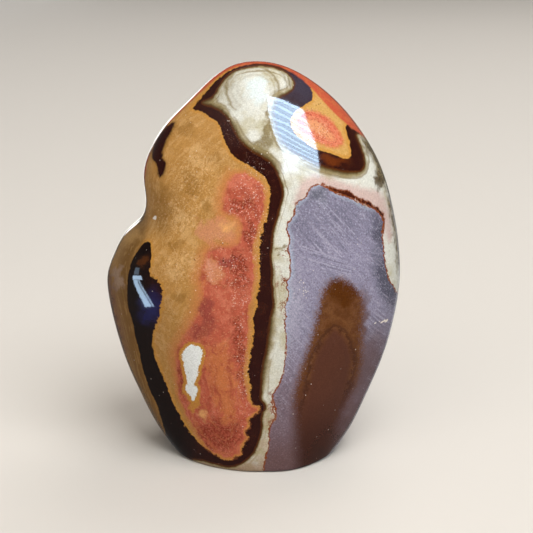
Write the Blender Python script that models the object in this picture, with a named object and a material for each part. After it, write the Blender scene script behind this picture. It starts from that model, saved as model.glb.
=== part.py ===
"""A polished polychrome jasper freeform: one solid stone with a flat ground foot, so that it stands upright by itself.

+Z is up, -Y is the show face and the origin is the middle of the foot. The form is a stack of level sections.
Each section is a rounded shape that fills a frame taken from two outlines: the one seen from the front and the one
seen from the side. The notch in the left side is then pressed into the sections, and the broad flats that the
grinding wheel left are taken off the faces.
"""

import bmesh
import bpy
import numpy as np

MM = 0.001

# The outline from the front, x and z in millimetres, from the left of the foot over the top to its right
FRONT_OUTLINE = [
    (-30.0, 0), (-37.4, 10), (-42.5, 20), (-47.0, 30), (-51.4, 45), (-53.5, 58), (-53.4, 66), (-50.8, 73.5),
    (-46.0, 81.5), (-40.6, 86.8), (-38.9, 94), (-39.5, 102), (-36.9, 111.5), (-30.9, 120.8), (-22.4, 129.2),
    (-14.6, 136.6), (-7.5, 140.9), (1.0, 142.4), (10.0, 140.9), (19.0, 136.5), (29.0, 128.6), (38.4, 117.5),
    (45.4, 105), (50.0, 90), (52.5, 75), (53.0, 65), (51.2, 50), (47.3, 35), (41.3, 20), (35.6, 8), (30.0, 0),
]
# The outline from the side, y and z, from the front of the foot over the top to its back
SIDE_OUTLINE = [
    (-30.2, 0), (-32.4, 12), (-34.2, 30), (-35.2, 50), (-35.0, 70), (-33.0, 88), (-28.6, 106), (-21.6, 122),
    (-12.6, 134.4), (-5.4, 140.3), (1.5, 142.4), (8.6, 140.4), (16.4, 134.2), (24.4, 120), (30.4, 100),
    (33.8, 78), (34.9, 58), (34.0, 38), (31.6, 18), (27.4, 0),
]
RIDGE_SHIFT = 3.0  # the sections are deepest this far to the right of their middle
FACE_FULLNESS = 2.6  # how flat the two faces are: 2 is an ellipse, more is flatter
TOP_ROUND = 30.0  # over this height below the top the sections turn into plain ellipses
FOOT_EDGE = 1.3  # radius of the rounded edge round the foot
NOTCH_REACH = 26.0  # the notch in the left side fades out this far in from the edge

# The ground flats: the way each one faces, how deep it cuts and over what distance it fades into the round, in mm
FLATS = [
    ((-0.76, -0.62, -0.20), 4.0, 5.0),  # lower left, beside the foot
    ((-0.46, -0.86, -0.16), 3.4, 4.0),  # lower left of the face, over the foot
    ((-0.42, -0.66, 0.62), 1.6, 4.0),  # upper left
    ((0.36, -0.66, 0.66), 1.4, 4.0),  # upper right
    ((0.66, -0.70, -0.26), 1.5, 4.0),  # lower right
    ((-0.52, 0.84, 0.14), 2.2, 4.5),  # left of the back
    ((0.60, 0.74, 0.30), 2.0, 4.5),  # right of the back
    ((0.10, 0.92, -0.38), 1.2, 4.0),  # low on the back
]

RINGS = 46  # level sections from the foot to the top
SPOKES = 56  # points round each section
CURVE_SAMPLES = 4000
SECTION_SAMPLES = 720


def spline(points, samples):
    """A smooth curve through the points, read at that many places an even distance apart."""
    points = np.array(points, float)
    step = np.linalg.norm(np.diff(points, axis=0), axis=1)
    along = np.concatenate([[0], np.cumsum(step)])
    slope = np.diff(points, axis=0) / step[:, None]
    system = np.eye(len(points))
    jumps = np.zeros_like(points)
    for i in range(1, len(points) - 1):
        system[i, i - 1 : i + 2] = step[i - 1], 2 * (step[i - 1] + step[i]), step[i]
        jumps[i] = 6 * (slope[i] - slope[i - 1])
    bend = np.linalg.solve(system, jumps)
    at = np.linspace(0, along[-1], samples)
    i = np.clip(np.searchsorted(along, at) - 1, 0, len(step) - 1)
    after = (at - along[i])[:, None]
    before = (along[i + 1] - at)[:, None]
    h = step[i][:, None]
    bent = (bend[i] * before**3 + bend[i + 1] * after**3) / (6 * h)
    return bent + (points[i] / h - bend[i] * h / 6) * before + (points[i + 1] / h - bend[i + 1] * h / 6) * after


def sides(outline):
    """The outline's two sides, each from the foot up, and its top."""
    curve = spline(outline, CURVE_SAMPLES)
    peak = int(curve[:, 1].argmax())
    return curve[: peak + 1], curve[peak:][::-1], curve[peak]


def pulled_tight(side):
    """The left side as a string pulled tight round the outside of it would run: without its notch."""
    tight = [side[0]]
    for point in side[1:]:
        while len(tight) > 1:
            before, turn = tight[-1] - tight[-2], point - tight[-1]
            if before[0] * turn[1] < before[1] * turn[0]:
                break
            tight.pop()
        tight.append(point)
    return np.array(tight)


def ring_heights(side, rings):
    """Heights an even way apart along the side of the outline, with two more in the foot's rounded edge."""
    even = side[np.linspace(0, len(side) - 1, rings).astype(int), 1]
    return np.concatenate([[0, 0.3 * FOOT_EDGE], [FOOT_EDGE], even[1:-1]])


def section(height, reach, notch, peak):
    """The outline of the level section at a height, from its reaches to the left, right, front and back."""
    left, right, front, back = reach
    ease = min(1.0, (peak - height) / TOP_ROUND)
    ease = ease * ease * (3 - 2 * ease)
    middle = (left + right) / 2 + RIDGE_SHIFT * ease
    depth_middle = (front + back) / 2
    flatness = 2 + (FACE_FULLNESS - 2) * ease
    inset = FOOT_EDGE - np.sqrt(max(0.0, FOOT_EDGE**2 - max(0.0, FOOT_EDGE - height) ** 2))
    turn = np.linspace(0, 2 * np.pi, SECTION_SAMPLES + 1)
    across, deep = np.cos(turn), np.sin(turn)
    width = np.where(across > 0, right - middle, middle - left) - inset
    depth = np.where(deep > 0, back - depth_middle, depth_middle - front) - inset
    x = middle + width * np.sign(across) * np.abs(across) ** (2 / flatness)
    y = depth_middle + depth * deep
    near_notch = np.clip((left + NOTCH_REACH - x) / NOTCH_REACH, 0, 1)
    x = x + notch * near_notch**2 * (3 - 2 * near_notch)
    along = np.concatenate([[0], np.cumsum(np.hypot(np.diff(x), np.diff(y)))])
    even = np.linspace(0, along[-1], SPOKES + 1)[:-1]
    return np.stack([np.interp(even, along, x), np.interp(even, along, y), np.full(SPOKES, height)], axis=1)


def grind(points):
    """The points after the flats are taken off them. Each point stays at its height, so the foot stays level."""
    ground = points.copy()
    for facing, cut, fade in FLATS:
        facing = np.array(facing) / np.linalg.norm(facing)
        proud = points @ facing - ((points @ facing).max() - cut)
        kept = np.where(proud < -fade, proud, np.where(proud > fade, 0, proud - (proud + fade) ** 2 / (4 * fade)))
        level = facing[:2] / (facing[:2] @ facing[:2])
        ground[:, :2] -= (proud - kept)[:, None] * level
    return ground


def stone_points():
    """Every point of the stone in mm: the sections' rings from the foot up, then the top."""
    notched, right, top = sides(FRONT_OUTLINE)
    front, back, crown = sides(SIDE_OUTLINE)
    left = pulled_tight(notched)
    rings = []
    for height in ring_heights(notched, RINGS):
        reach = [np.interp(height, side[:, 1], side[:, 0]) for side in (left, right, front, back)]
        notch = np.interp(height, notched[:, 1], notched[:, 0]) - reach[0]
        rings.append(section(height, reach, notch, top[1]))
    points = np.concatenate(rings + [[(top[0], crown[0], top[1])]])
    points = grind(points)
    low, high = points.min(axis=0), points.max(axis=0)
    points[:, :2] -= (low[:2] + high[:2]) / 2
    return points


def jasper_material():
    """The mean look of the stone: warm brown, opaque and polished."""
    material = bpy.data.materials.new("polished_jasper")
    material.use_nodes = True
    shader = material.node_tree.nodes["Principled BSDF"]
    shader.inputs["Base Color"].default_value = (0.27, 0.13, 0.07, 1)
    shader.inputs["Roughness"].default_value = 0.08
    shader.inputs["Metallic"].default_value = 0.0
    shader.inputs["IOR"].default_value = 1.54
    material.diffuse_color = (0.27, 0.13, 0.07, 1)
    return material


def build_stone():
    """The stone as one closed mesh: rings joined by quads, a flat foot and a fan of triangles at the top."""
    points = stone_points()
    bm = bmesh.new()
    verts = [bm.verts.new(point * MM) for point in points]
    rings = [verts[i : i + SPOKES] for i in range(0, len(verts) - 1, SPOKES)]
    for lower, upper in zip(rings, rings[1:]):
        for i in range(SPOKES):
            j = (i + 1) % SPOKES
            bm.faces.new((lower[i], lower[j], upper[j], upper[i]))
    for i in range(SPOKES):
        bm.faces.new((rings[-1][i], rings[-1][(i + 1) % SPOKES], verts[-1]))
    bm.faces.new(rings[0][::-1])
    bmesh.ops.recalc_face_normals(bm, faces=bm.faces)
    mesh = bpy.data.meshes.new("jasper_freeform")
    bm.to_mesh(mesh)
    bm.free()
    mesh.shade_smooth()
    mesh.set_sharp_from_angle(angle=np.radians(40))
    stone = bpy.data.objects.new("jasper_freeform", mesh)
    stone.data.materials.append(jasper_material())
    bpy.context.scene.collection.objects.link(stone)
    return stone


def main():
    for old in list(bpy.data.objects):
        bpy.data.objects.remove(old, do_unlink=True)
    build_stone()


main()
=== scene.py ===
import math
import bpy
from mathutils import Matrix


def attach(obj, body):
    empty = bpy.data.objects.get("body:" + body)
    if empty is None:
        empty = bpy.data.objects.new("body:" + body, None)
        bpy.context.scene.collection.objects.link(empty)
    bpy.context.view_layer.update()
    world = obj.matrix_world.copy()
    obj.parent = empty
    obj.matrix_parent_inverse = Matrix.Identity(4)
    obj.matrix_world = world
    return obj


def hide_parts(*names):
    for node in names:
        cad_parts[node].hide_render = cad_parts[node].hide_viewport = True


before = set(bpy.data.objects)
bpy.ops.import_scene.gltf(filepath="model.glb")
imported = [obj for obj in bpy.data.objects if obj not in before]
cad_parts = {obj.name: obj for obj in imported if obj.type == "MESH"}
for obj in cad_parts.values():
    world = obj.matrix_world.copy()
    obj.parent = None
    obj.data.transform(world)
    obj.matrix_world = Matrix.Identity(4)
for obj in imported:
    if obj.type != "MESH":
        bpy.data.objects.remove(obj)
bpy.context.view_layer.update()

# The looks of a polished polychrome jasper freeform: the stone's fine surface, the colours that run through
# it and the light. Lengths are millimetres, and turn to metres where a mesh, a lamp or the camera is made.

from types import SimpleNamespace

import bpy
import numpy as np
from mathutils import Vector

BODY = "root"
NODE = "jasper_freeform"
MM = 0.001

# The camera that sees the show face
CAMERA_AT = np.array([4.8, -478.0, 201.5])
CAMERA_PITCH = 15.6  # degrees below level
CAMERA_LENS = 91.86
CAMERA_CLIP = 10.0
SENSOR_WIDTH = 36.0

# The form of the stone, as its maker ground it. The outlines are those of the solid.
FRONT_OUTLINE = [
    (-30, 0), (-37.4, 10), (-42.5, 20), (-47, 30), (-51.4, 45), (-53.5, 58), (-53.4, 66), (-50.8, 73.5),
    (-46, 81.5), (-40.6, 86.8), (-38.9, 94), (-39.5, 102), (-36.9, 111.5), (-30.9, 120.8), (-22.4, 129.2),
    (-14.6, 136.6), (-7.5, 140.9), (1, 142.4), (10, 140.9), (19, 136.5), (29, 128.6), (38.4, 117.5),
    (45.4, 105), (50, 90), (52.5, 75), (53, 65), (51.2, 50), (47.3, 35), (41.3, 20), (35.6, 8), (30, 0),
]
SIDE_OUTLINE = [
    (-30.2, 0), (-32.4, 12), (-34.2, 30), (-35.2, 50), (-35, 70), (-33, 88), (-28.6, 106), (-21.6, 122),
    (-12.6, 134.4), (-5.4, 140.3), (1.5, 142.4), (8.6, 140.4), (16.4, 134.2), (24.4, 120), (30.4, 100),
    (33.8, 78), (34.9, 58), (34, 38), (31.6, 18), (27.4, 0),
]
RIDGE_SHIFT = 3.0  # the sections are deepest this far to the right of their middle
FACE_FULLNESS = 2.6  # how flat the two faces are: 2 is an ellipse, more is flatter
TOP_ROUND = 30.0  # over this height below the top the sections turn into plain ellipses
FOOT_EDGE = 1.3  # radius of the rounded edge round the foot
NOTCH_REACH = 26.0  # the notch in the left side fades out this far in from the edge

# The ground flats: the way each one faces, how deep it cuts and over what distance it fades into the round
FLATS = [
    ((-0.76, -0.62, -0.20), 4.0, 5.0),
    ((-0.46, -0.86, -0.16), 3.4, 4.0),
    ((-0.42, -0.66, 0.62), 1.6, 4.0),
    ((0.36, -0.66, 0.66), 1.4, 4.0),
    ((0.66, -0.70, -0.26), 1.5, 4.0),
    ((-0.52, 0.84, 0.14), 2.2, 4.5),
    ((0.60, 0.74, 0.30), 2.0, 4.5),
    ((0.10, 0.92, -0.38), 1.2, 4.0),
]
RINGS = 300  # level sections from the foot to the top
SPOKES = 310  # points round each section
EDGE_RINGS = 6  # sections in the rounded edge of the foot
EDGE_CLEARANCE = 1.3  # the even sections begin this many times the edge's radius above the foot
CURVE_SAMPLES = 4000
SECTION_SAMPLES = 1440

# The markings. An outline is drawn on a sheet that stands upright through the middle of the stone: x and z
# where the line of sight through a point of the face meets it, or for the back, the point's own x and z.
# Outlines that run past the silhouette carry on round the side.

# Everything that is dark, mustard or red: the rest is cream or grey
WARM_FRONT = [
    (-20.2, -8.2), (-16.5, -9.6), (-12.9, -10.6), (-9.2, -11.4), (-5.5, -10.4), (-2.5, -8.4), (0, -5.4),
    (1.8, -1.7), (2.8, 2.9), (3.4, 6), (3, 10), (4.5, 12.2), (4.3, 14.4), (2.5, 16.4), (3, 19.6),
    (3.2, 27.8), (5.1, 36.2), (5.8, 43.7), (6.5, 48.7), (7.8, 53.7), (7.3, 57.2), (6.9, 62.5), (7.2, 66),
    (6.4, 72.2), (6.9, 75.4), (6.9, 78.4), (7.9, 83.6), (9.3, 88.3), (10.7, 93.3), (11, 96.7), (9.2, 101.9),
    (7.2, 106.1), (3.9, 108.6), (0, 110.8), (-4, 113.8), (-6.5, 118), (-7.5, 120.5), (-10, 124.5),
    (-14, 126.7), (-17, 127.4), (-18.2, 128.2), (-14.8, 129.3), (-12.7, 131.6), (-11.5, 134.3),
    (-9.6, 136.8), (-7, 139), (-3.6, 140.1), (-0.6, 140.7), (3, 141.1), (7, 140.6), (10, 139.6),
    (12.5, 138), (14, 136.3), (14.6, 134.6), (13.9, 132.8), (12, 131.4), (9, 130), (7.4, 126.9),
    (7.2, 124.1), (7.8, 121.2), (8.6, 117.8), (10.3, 114.3), (13, 111.4), (16.3, 109.1), (19.8, 107.3),
    (23.2, 105.7), (26.7, 104.6), (31, 103.5), (36, 102.8), (39, 103.3), (40, 105.5), (39.9, 108),
    (39, 111), (37.5, 114.5), (36.4, 117), (38.5, 117.2), (41.5, 114.5), (52, 106), (70, 120), (50, 158),
    (0, 172), (-50, 158), (-90, 110), (-90, 20), (-70, -30), (-34, -30), (-30, -8),
]
WARM_BACK = [
    (70, 112), (46, 110), (36, 104), (26, 97), (18, 86), (10, 76), (3, 62), (-5, 48), (-8, 32), (-14, 16),
    (-20, 0), (-26, -20), (-90, -20), (-90, 170), (70, 170),
]
# Mustard, over the dark: what it leaves open shows as dark bands
MUSTARD_FRONT = [
    (-9.1, -8.7), (-13.1, -7.4), (-16.1, -5.4), (-20, -1.8), (-24.5, 3), (-27.5, 9), (-30.3, 15),
    (-32.8, 22), (-35, 28), (-37, 34), (-37.8, 38.5), (-36.9, 44), (-35, 48), (-34.1, 52.2), (-33.3, 58.5),
    (-34.5, 62.5), (-36.4, 63.6), (-38.2, 65), (-37.5, 69), (-37, 75), (-37.6, 77.8), (-40, 76.8),
    (-42, 74), (-44.3, 70.5), (-45.8, 65), (-46.5, 58), (-46.3, 53), (-44.8, 48), (-43.9, 42), (-42.5, 35),
    (-41.3, 28), (-39, 20), (-36.2, 14), (-34.8, 8), (-32.8, 1), (-34, -12), (-70, -25), (-90, 30),
    (-90, 110), (-50, 155), (0, 168), (45, 154), (64, 124), (50, 110), (41.5, 115.6), (38.5, 118),
    (35.5, 119.6), (33.4, 120.4), (32.8, 119.5), (33.5, 116.5), (34.8, 112), (35.2, 109.6), (34.6, 108.2),
    (31.5, 108.3), (29.8, 109.2), (27.5, 109.8), (22.6, 111.3), (19.2, 113.3), (16.7, 115.3), (14.7, 117.3),
    (13.4, 119.4), (13.1, 121.6), (14, 123.8), (16, 126), (19, 127.6), (20.9, 129.2), (21.2, 130.8),
    (20.7, 132.5), (19.5, 134.6), (17.5, 136.6), (15, 138.4), (12, 140.3), (9, 141.4), (3, 142.1),
    (-1, 141.8), (-4, 141.1), (-7, 140), (-9.7, 138.5), (-12.5, 136.2), (-15.2, 133.4), (-17.8, 130.4),
    (-20.4, 127.4), (-21.6, 126), (-20.6, 125.4), (-18, 125.2), (-15.2, 122.6), (-13.5, 122.4),
    (-11.3, 119), (-11, 117.5), (-9.8, 113.3), (-8.4, 110.9), (-6, 107.7), (-3, 106.5), (0, 104.6),
    (4, 101.9), (5.9, 98.4), (6.1, 96), (5.8, 91), (5.3, 86.6), (3.7, 84), (4.1, 82.1), (2.5, 79),
    (2.9, 76.9), (1.8, 73.9), (2.5, 66), (1.6, 57.6), (1.3, 53.3), (-0.1, 48.7), (0.5, 43.7), (-0.4, 37.4),
    (-2.1, 27.8), (-1.3, 24), (-1, 15.8), (0.1, 13.8), (2.4, 13.2), (2.2, 10.9), (-0.6, 9.6), (-1.7, 7.3),
    (-0.2, 5.4), (-2.8, 4.4), (-3.1, 2.3), (-1.2, 0.7), (-3.5, -1.2), (-2.4, -2.5), (-4.9, -4.2),
    (-4, -6.9), (-6.6, -6.9), (-8.3, -7.7),
]
MUSTARD_BACK = [
    (70, 118), (48, 117), (36, 112), (26, 106), (16, 97), (9, 85), (2, 77), (-4, 66), (-12, 54), (-16, 38),
    (-20, 20), (-27, 4), (-32, -20), (-90, -20), (-90, 170), (70, 170),
]
RED_FRONT = [
    (-8.9, 100.2), (-10.4, 96.6), (-11.5, 91.8), (-11.9, 88.5), (-8, 87.3), (-4.7, 85.1), (-4.4, 80.3),
    (-6.2, 76.1), (-13.5, 75.8), (-17.5, 73.9), (-18.3, 70.1), (-19.8, 66.3), (-20.2, 63.1), (-19.2, 59.1),
    (-20.7, 52.6), (-22.4, 47.9), (-25.7, 42.1), (-29.1, 35.9), (-29.2, 30.7), (-28.3, 17.6), (-26.5, 13.2),
    (-23.6, 6.8), (-20.6, 1.1), (-17.7, -3), (-15, -5.4), (-12, -6.8), (-9, -7.6), (-6.6, -6.2),
    (-5.2, -5.8), (-5.6, -3.6), (-4.2, -1), (-2.8, 0.7), (-4, 2.6), (-3.4, 4.9), (-1.8, 5.6), (-2.8, 7.6),
    (-1.2, 10.2), (1.7, 11.4), (1.4, 12.6), (-0.6, 13.4), (-2, 15.2), (-3.2, 21.2), (-3.9, 28), (-2.4, 37),
    (-1.7, 43.3), (-2, 48.7), (-0.6, 57), (0.5, 66), (0.1, 72), (-0.4, 76), (1.2, 80), (2.2, 84), (4, 89),
    (4.2, 94), (3.4, 98.4), (0.6, 101.4), (-4, 103.2), (-7, 102.6),
]
RED_BACK = [
    (-6, 118), (8, 116), (13, 108), (6, 98), (-3, 92), (-9, 80), (-15, 66), (-20, 50), (-25, 36), (-31, 40),
    (-30, 56), (-26, 70), (-20, 84), (-18, 98), (-14, 110),
]
RED_RIM_FRONT = [
    (-39.4, 92), (-38.6, 104), (-36.4, 111), (-32.8, 117), (-28.2, 122.4), (-22.6, 128), (-17, 133),
    (-11.5, 137.8), (-7, 140.4), (-1, 141.7), (4, 141.9), (10, 140.8), (16, 137.4), (21, 132.9),
    (25.5, 127.8), (29.5, 123.6), (33.5, 120.2), (38, 117), (42.5, 113.5), (60, 118), (45, 150), (0, 166),
    (-40, 152), (-75, 110), (-60, 92),
]
RED_RIM_BACK = [
    (-80, 96), (-46, 100), (-38, 112), (-28, 122), (-14, 129), (2, 131), (18, 128), (32, 120), (44, 110),
    (70, 112), (60, 170), (-60, 170),
]
RED_SPOT_FRONT = [
    (21, 125.4), (25, 124.2), (28, 121.5), (30.5, 118.5), (32, 115.5), (32, 113), (30, 111.8), (27, 112.3),
    (23.5, 113.3), (19.6, 115.4), (16.6, 117.6), (15.3, 120.6), (15.9, 123.7), (18.2, 125.5),
]
DARK_LEFT_FRONT = [
    (-27.5, 120.9), (-28.8, 118.5), (-30, 116), (-31.5, 113), (-32.3, 110), (-32.4, 108), (-31, 106.5),
    (-31.3, 104), (-33.2, 100.6), (-34.3, 103), (-34.5, 106), (-35.6, 107.5), (-36.2, 109), (-35.8, 112),
    (-34.5, 114.8), (-32.6, 117.5), (-30.5, 120), (-28.3, 121.2),
]
DARK_LEFT_BACK = [
    (-34, 104), (-29, 98), (-30, 88), (-34, 80), (-39, 84), (-40, 94),
]
TAN_FRONT = [
    (-90, 96), (-42, 92), (-39.3, 87), (-39.2, 82), (-40.5, 77), (-43, 73), (-45, 68), (-45.6, 60),
    (-45, 52), (-43.5, 45), (-42.3, 35), (-41, 28), (-38, 18), (-34.5, 8), (-31, -2), (-34, -12),
    (-60, -25), (-90, 20),
]
TAN_BACK = [
    (-90, 95), (-44, 84), (-41, 60), (-38, 40), (-34, 20), (-30, 0), (-30, -20), (-90, -20),
]
MAUVE_FRONT = [
    (-90, 74), (-54, 70), (-52.4, 66), (-51.6, 60), (-50.6, 52), (-49.4, 46), (-48.4, 40), (-47.8, 34),
    (-47.6, 28), (-48, 24), (-90, 18),
]
MAUVE_BACK = [
    (-90, 70), (-48, 66), (-45, 45), (-43, 25), (-90, 18),
]
GREY_FRONT = [
    (15.1, 91), (17, 92.5), (18.6, 93.3), (19.6, 94.6), (20, 96.2), (21, 97.5), (22.5, 98.3), (24.5, 98.3),
    (26, 97.4), (28, 96), (30, 95), (33, 94), (36, 93), (38.5, 91.5), (41, 90.5), (43.3, 89.7), (45, 88.2),
    (46.3, 86.3), (47, 84), (46.4, 82), (46.7, 77.5), (47.3, 72.5), (48.1, 67), (49.7, 62.3), (51.5, 59.5),
    (53, 57), (62, 58), (90, 60), (80, -30), (3, -30), (3.8, -12), (4.6, -7.8), (5.4, -5), (6.2, -0.9),
    (6, 3.9), (7.4, 7.4), (8.8, 8.5), (8.4, 13.2), (7.1, 17.6), (8.8, 20.4), (10.9, 25), (11.8, 29.6),
    (12.3, 35.9), (12.6, 40.5), (11.7, 44.4), (12.2, 48.3), (11.7, 51.8), (12.6, 55.4), (13.2, 57.6),
    (12.3, 60.6), (12.7, 62.7), (14.1, 65.2), (13.4, 68.2), (13.8, 71.4), (12.7, 74.9), (13.8, 78),
    (12.7, 80.4), (12.1, 83.4), (13.4, 85.1), (15.2, 87.3),
]
GREY_BACK = [
    (80, 82), (46, 84), (34, 78), (24, 70), (16, 58), (10, 44), (5, 30), (0, 14), (-4, 0), (-8, -20),
    (80, -20),
]
RUST_FRONT = [
    (20, 97.4), (23, 99.2), (26, 98.9), (29, 97.4), (31.5, 96.8), (34, 96.4), (36, 94.8), (38.5, 93.6),
    (41, 93), (43, 91.4), (45, 90.4), (46.8, 88.6), (47.6, 86.2), (47.6, 83), (47, 79), (46.4, 83),
    (45.8, 86.2), (44.2, 88.2), (42, 90), (38.5, 91.6), (36, 93.1), (33, 94.2), (30, 95.3), (28, 96.2),
    (26, 97.6), (24.3, 98.4), (22, 98),
]
RUST_BACK = [
    (34, 80), (25, 72.5), (17, 60), (16, 57), (24, 69), (34, 77.5), (42, 82.5), (42, 83.8),
]
BROWN_FRONT = [
    (26.9, 62), (30.2, 64), (33.5, 63.4), (36.8, 61.1), (39.9, 57.9), (41.1, 52.8), (40.7, 47.5),
    (40.6, 41.7), (40.8, 32.9), (39.7, 25.2), (37.3, 18), (35.1, 12.6), (33.4, 6.5), (32.2, 0), (30.5, -8),
    (28, -20), (17, -20), (15.6, -9), (15, -2), (14.6, 4.8), (14.3, 10.8), (14.4, 16.8), (15.6, 22.2),
    (17.3, 28.2), (18.9, 33.5), (20.6, 38.8), (21.9, 44.1), (22.7, 47.5), (23.3, 51), (24.3, 55.1),
    (25.2, 58.9),
]
BROWN_BACK = [
    (30, 58), (38, 52), (43, 40), (40, 26), (32, 14), (24, 9), (18, 16), (18, 30), (22, 44), (26, 54),
]
WHITE_FRONT = [
    (-24.9, 36.8), (-23.6, 37.9), (-21.7, 37.6), (-19.8, 36.9), (-18.9, 35.3), (-19.3, 33.3), (-19.7, 31.3),
    (-20.6, 29.3), (-20.7, 26.9), (-21.1, 24.9), (-22.1, 23.4), (-22.3, 21.8), (-21, 20.5), (-21.4, 18.1),
    (-22.5, 15.5), (-23.4, 16.2), (-23.6, 18.1), (-25.4, 19.1), (-25.6, 21.2), (-24.7, 22.9), (-25.2, 25.6),
    (-25.7, 28.3), (-25.9, 30.9), (-26.7, 33.3), (-26.2, 35.3),
]
WHITE_BACK = [
    (-22, 30), (-19.5, 31), (-18.5, 27), (-20, 22), (-19.5, 18), (-21.5, 15), (-23, 19), (-23.5, 25),
]
PINK_FRONT = [
    (14.6, 90), (15.5, 96), (18, 100.4), (22.5, 102.3), (28, 100.6), (34, 98.6), (39, 97.2), (43, 96.4),
    (46.2, 95.2), (48.3, 91), (49.5, 86), (50.3, 80), (49, 77), (47.5, 83), (46, 88), (42, 91.6),
    (36, 94.2), (30, 96.2), (24.5, 98.6), (20.5, 97.4), (18, 93.4),
]
PINK_BACK = [
    (44, 94), (34, 90), (25, 82), (18, 72), (12, 60), (16, 60), (24, 70), (34, 79), (44, 86),
]
OLIVE_FRONT = [
    (37.4, 117.2), (39, 113.5), (40.6, 109.6), (42.8, 107.4), (44, 105), (43.4, 102.6), (43.4, 100.4),
    (45, 98.8), (46.6, 99.6), (47.6, 97), (48.2, 92), (49.5, 86), (51, 78), (52.4, 68), (53.6, 62),
    (56, 64), (56, 100), (48, 112), (41, 116.5),
]
OLIVE_BACK = [
    (70, 104), (48, 104), (36, 97), (34, 92), (42, 96), (50, 98), (70, 98),
]
CHOCOLATE_FRONT = [
    (29.4, 45.8), (26.6, 42.3), (23.9, 38.2), (22, 34.1), (20.6, 28.8), (19.6, 22.8), (18.4, 16.8),
    (17.4, 10.8), (17, 4.8), (17.2, -2), (18.4, -12), (26, -12), (28.6, -2), (30, 4.8), (31.6, 10.2),
    (33.7, 15.6), (35.8, 21.6), (37.1, 27.6), (37.9, 32.9), (36.7, 37.6), (34.4, 41.7), (31.6, 44.6),
]
CHOCOLATE_BACK = [
    (30, 46), (36, 42), (39, 32), (36, 20), (30, 14), (24, 13), (21, 20), (22, 32), (26, 42),
]
MARKINGS = {
    "warm": (WARM_FRONT, WARM_BACK),
    "mustard": (MUSTARD_FRONT, MUSTARD_BACK),
    "red": (RED_FRONT, RED_BACK),
    "red_spot": (RED_SPOT_FRONT, None),
    "red_rim": (RED_RIM_FRONT, RED_RIM_BACK),
    "dark_left": (DARK_LEFT_FRONT, DARK_LEFT_BACK),
    "tan": (TAN_FRONT, TAN_BACK),
    "mauve": (MAUVE_FRONT, MAUVE_BACK),
    "grey": (GREY_FRONT, GREY_BACK),
    "rust": (RUST_FRONT, RUST_BACK),
    "brown": (BROWN_FRONT, BROWN_BACK),
    "chocolate": (CHOCOLATE_FRONT, CHOCOLATE_BACK),
    "white": (WHITE_FRONT, WHITE_BACK),
    "pink": (PINK_FRONT, PINK_BACK),
    "olive": (OLIVE_FRONT, OLIVE_BACK),
}
FAR_OUTSIDE = -25.0  # distances go no further, and an outline that a side doesn't have is this far off

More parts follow.
